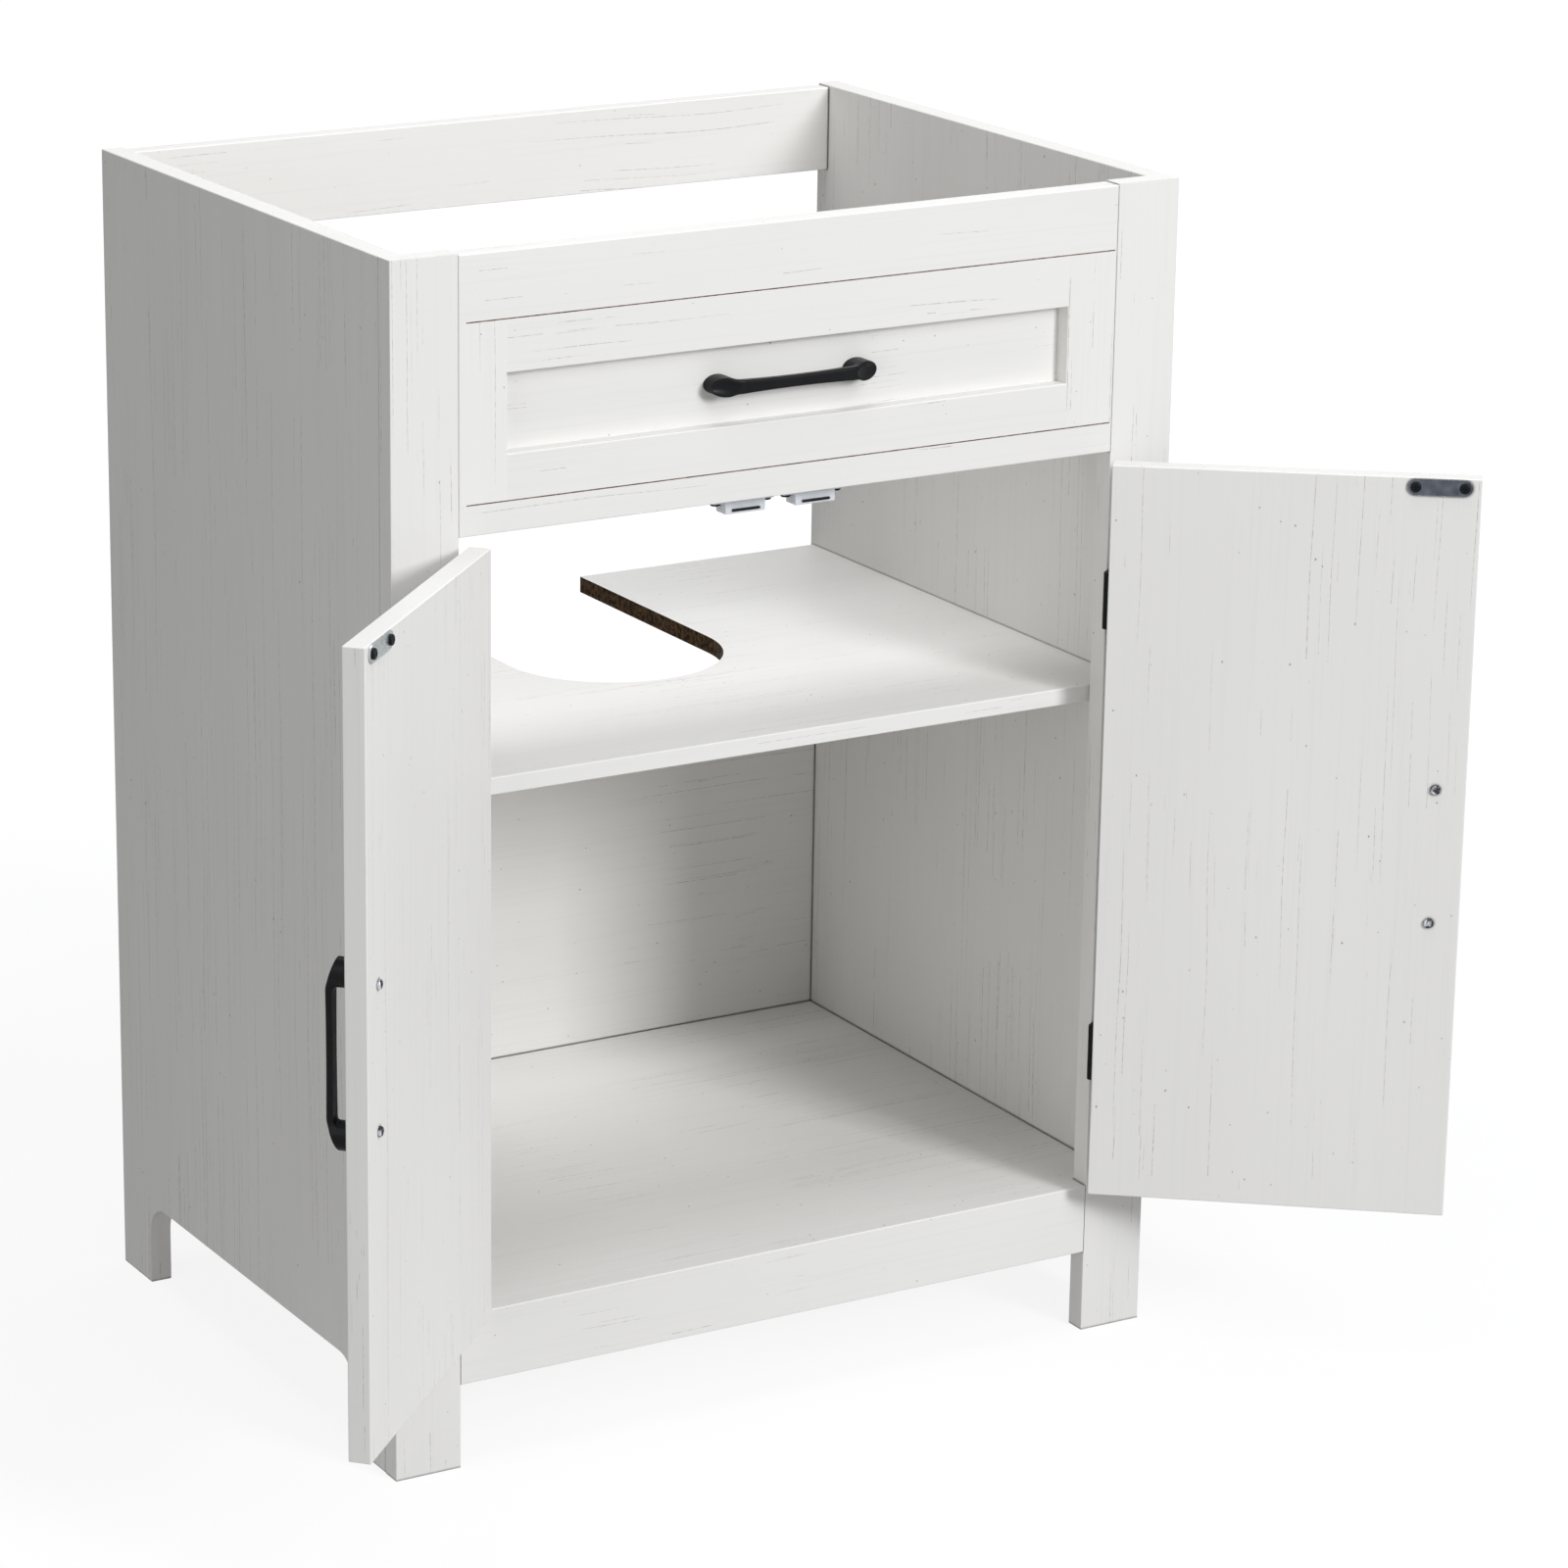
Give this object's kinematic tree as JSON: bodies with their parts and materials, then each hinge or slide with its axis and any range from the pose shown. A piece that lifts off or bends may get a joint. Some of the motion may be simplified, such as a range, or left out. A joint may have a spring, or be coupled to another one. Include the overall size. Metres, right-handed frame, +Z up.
{
  "type": "vanity cabinet",
  "caption": "White wood-grain vanity cabinet with an open top, hinged inset doors, a fixed false drawer front, black bar pulls, and a shelf cut out at the back for pipes.",
  "frame": {"origin": "on the floor, at the centre of the carcass's 600 by 442 mm footprint", "axes": "+Z up; -Y out of the front, the way the doors open; +X to the right of someone facing the front"},
  "size_m": [0.87, 0.6329, 0.832],
  "materials": {
    "white_board": "whitewashed wood-grain laminate, satin",
    "dowel_wood": "bare beech",
    "zinc": "zinc plated",
    "strike_steel": "bright zinc plate",
    "pull_black": "satin black",
    "hinge_black": "satin black",
    "screw_black": "black oxide",
    "catch_white": "moulded, matt",
    "pole_dark": "dark steel"
  },
  "bodies": {
    "carcass": {"left_side_panel": "white_board", "right_side_panel": "white_board", "left_stile": "white_board", "right_stile": "white_board", "bottom_rail": "white_board", "front_panel": "white_board", "front_inset": "white_board", "front_stretcher": "white_board", "floor_panel": "white_board", "shelf": "white_board", "lower_back_panel": "white_board", "top_back_rail": "white_board", "board_dowels": "dowel_wood", "thin_dowels": "dowel_wood", "cam_locks": "zinc", "cam_bolts": "zinc", "drawer_pull": "pull_black", "drawer_pull_screws": "zinc", "left_catch": "catch_white", "right_catch": "catch_white", "left_catch_magnet": "pole_dark", "right_catch_magnet": "pole_dark", "catch_screws": "screw_black", "left_upper_frame_leaf": "hinge_black", "left_lower_frame_leaf": "hinge_black", "right_upper_frame_leaf": "hinge_black", "right_lower_frame_leaf": "hinge_black", "hinge_pins": "hinge_black", "hinge_frame_screws": "screw_black"},
    "left_door": {"left_door_board": "white_board", "left_door_pull": "pull_black", "left_pull_screws": "zinc", "left_strike_plate": "strike_steel", "left_strike_screws": "screw_black", "left_hinge_door_screws": "screw_black", "left_upper_door_leaf": "hinge_black", "left_lower_door_leaf": "hinge_black"},
    "right_door": {"right_door_board": "white_board", "right_door_pull": "pull_black", "right_pull_screws": "zinc", "right_strike_plate": "strike_steel", "right_strike_screws": "screw_black", "right_hinge_door_screws": "screw_black", "right_upper_door_leaf": "hinge_black", "right_lower_door_leaf": "hinge_black"}
  },
  "joints": [
    {"name": "left_door_hinge", "type": "hinge", "parent": "carcass", "child": "left_door", "pos_m": [-0.24995, -0.225, 0.37815], "axis": [0, 0, -1], "range_deg": [-135.7, 44.3]},
    {"name": "right_door_hinge", "type": "hinge", "parent": "carcass", "child": "right_door", "pos_m": [0.24995, -0.225, 0.37815], "axis": [0, 0, 1], "range_deg": [-142.3, 37.7]}
  ]
}
